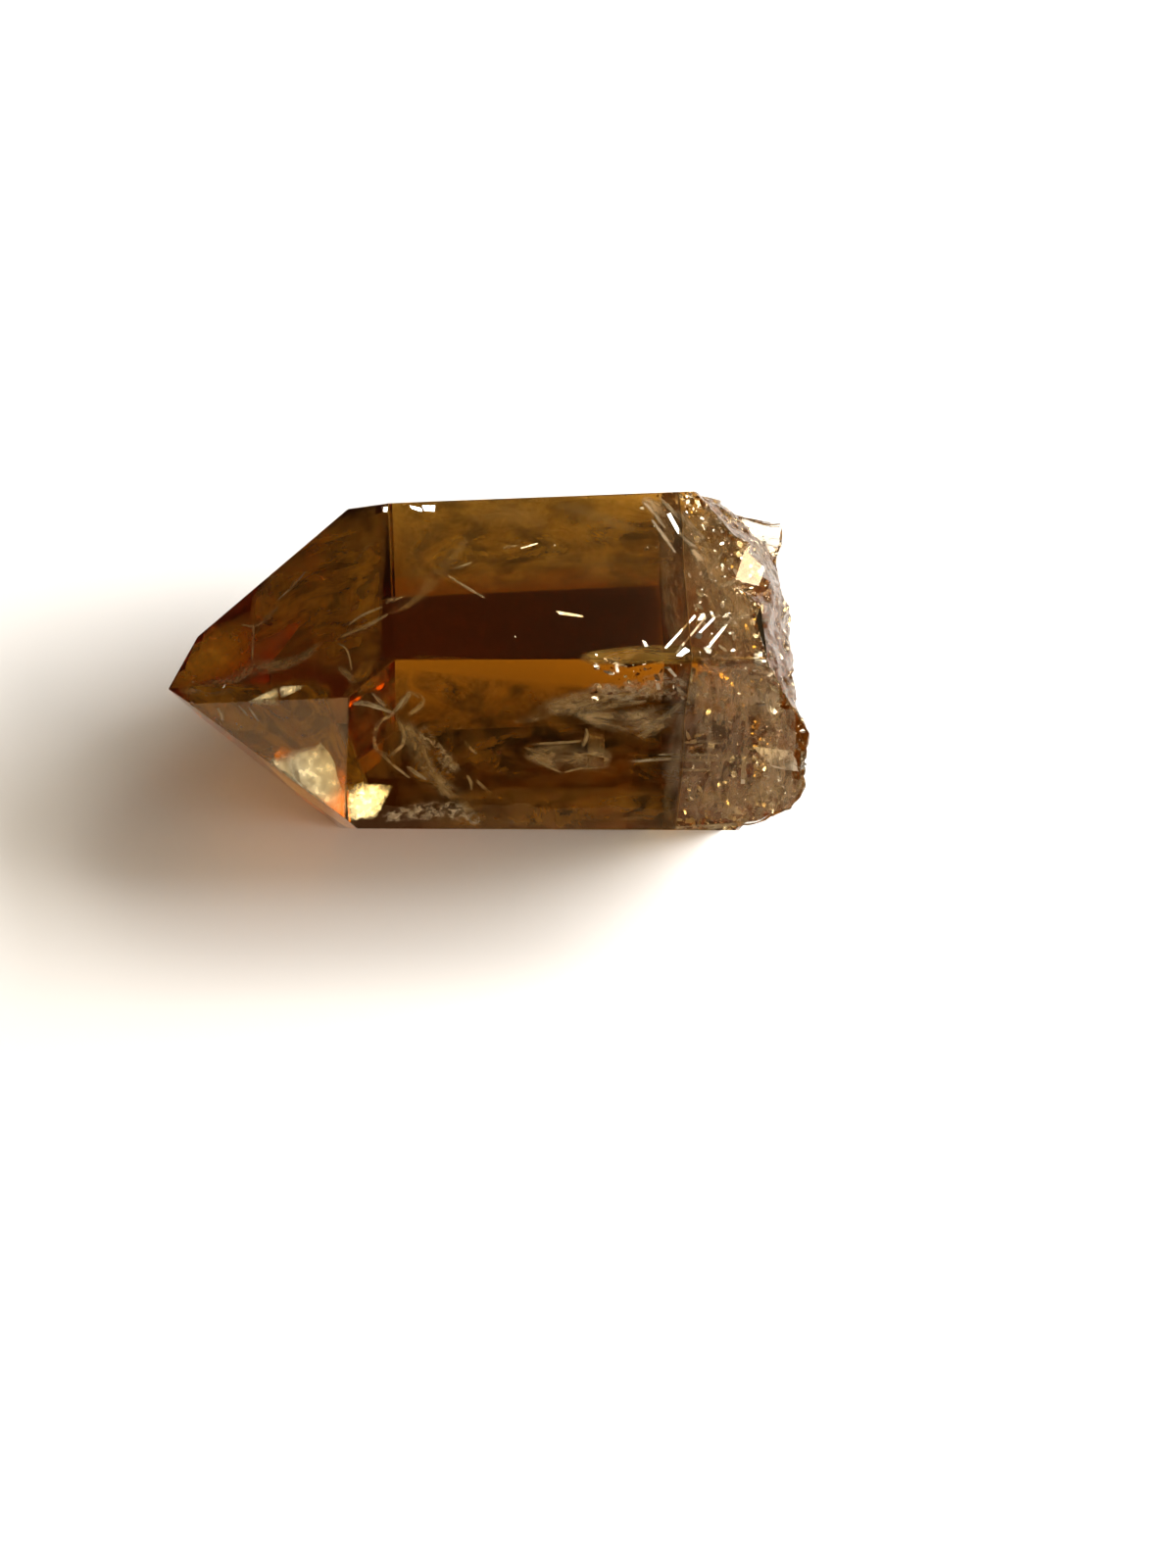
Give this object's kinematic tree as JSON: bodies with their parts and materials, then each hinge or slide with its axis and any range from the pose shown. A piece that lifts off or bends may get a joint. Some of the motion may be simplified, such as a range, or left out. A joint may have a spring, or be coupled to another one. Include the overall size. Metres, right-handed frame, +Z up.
{
  "type": "citrine crystal point",
  "caption": "Single six-sided quartz crystal of smoky yellow citrine with a natural point at one end and a rough broken root, lying on a side face.",
  "frame": {"origin": "on the table, under the middle of the crystal's bounding box", "axes": "+X along the crystal's long axis, from the point towards the broken root; +Z up, out of the table; +Y away from the side with the lower, longer face"},
  "size_m": [0.0618, 0.0396, 0.0338],
  "materials": {
    "citrine": "clear smoky yellow-brown quartz, glossy natural faces and a rough broken root",
    "veils": "pale healed cracks and cloudy veils inside the crystal"
  },
  "bodies": {
    "root": {"crystal_point": "citrine"}
  },
  "joints": []
}
